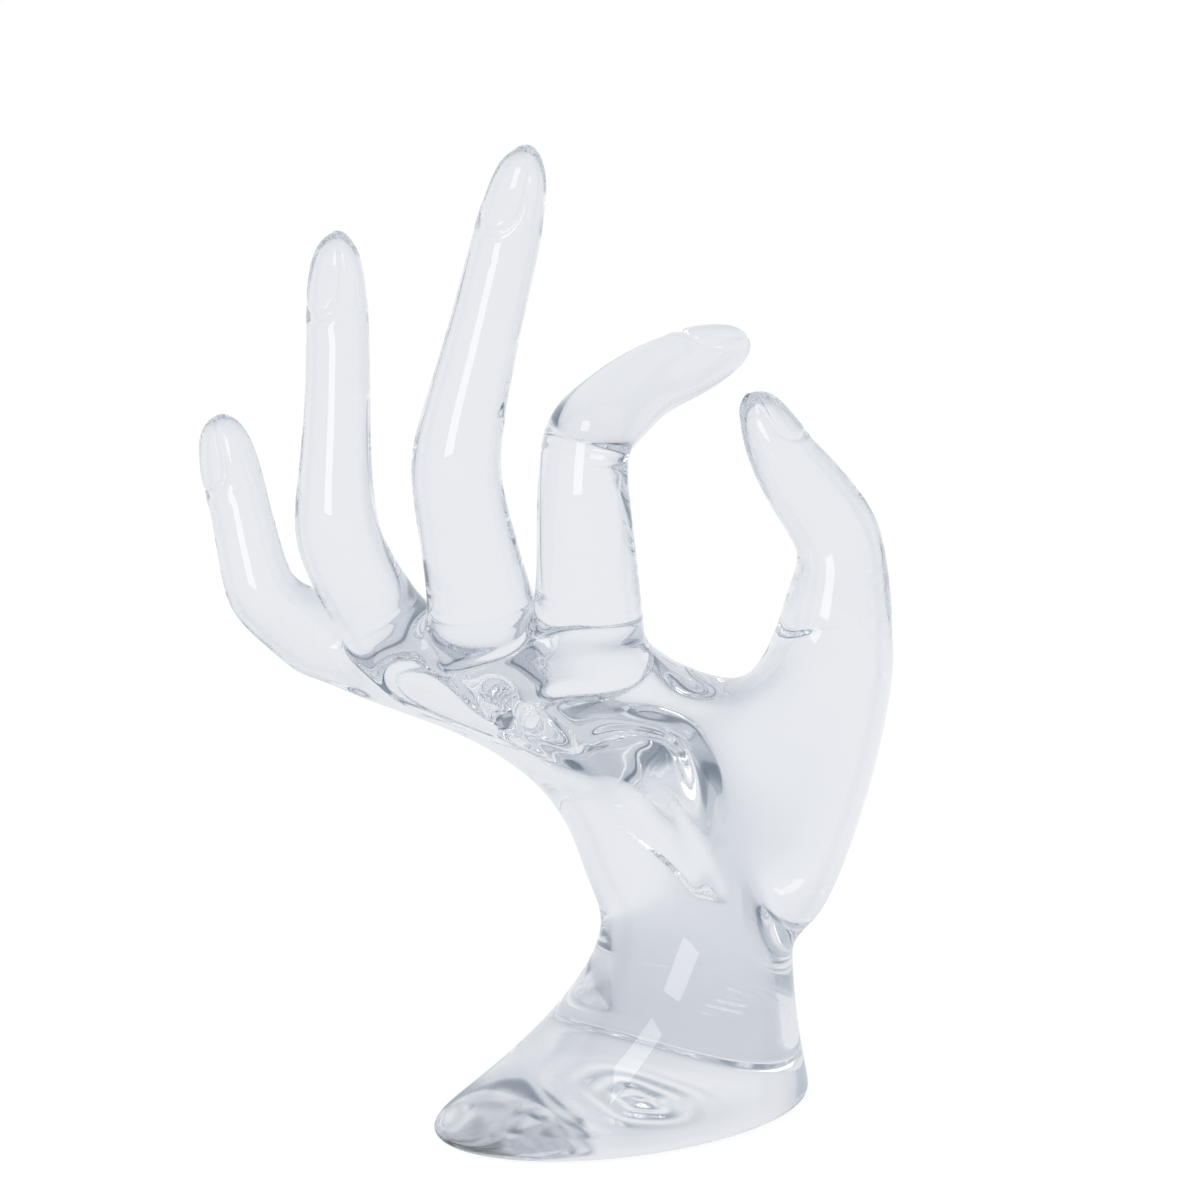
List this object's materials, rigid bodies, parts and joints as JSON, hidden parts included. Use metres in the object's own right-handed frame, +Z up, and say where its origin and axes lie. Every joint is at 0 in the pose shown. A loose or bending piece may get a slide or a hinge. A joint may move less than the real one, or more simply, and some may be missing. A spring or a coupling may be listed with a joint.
{
  "type": "hand jewelry stand",
  "caption": "Clear cast resin hand on a flared oval foot, index finger and thumb curled towards each other, for hanging rings and bracelets.",
  "frame": {"origin": "centre of the foot's flat oval underside", "axes": "+Z up to the fingertips, -Y to the viewer of the hand's back, +X to the thumb's side"},
  "size_m": [0.116, 0.0529, 0.1663],
  "materials": {
    "clear_resin": "polished water-clear cast resin with a faint blue-grey tint"
  },
  "bodies": {
    "root": {"hand_stand": "clear_resin"}
  },
  "joints": []
}
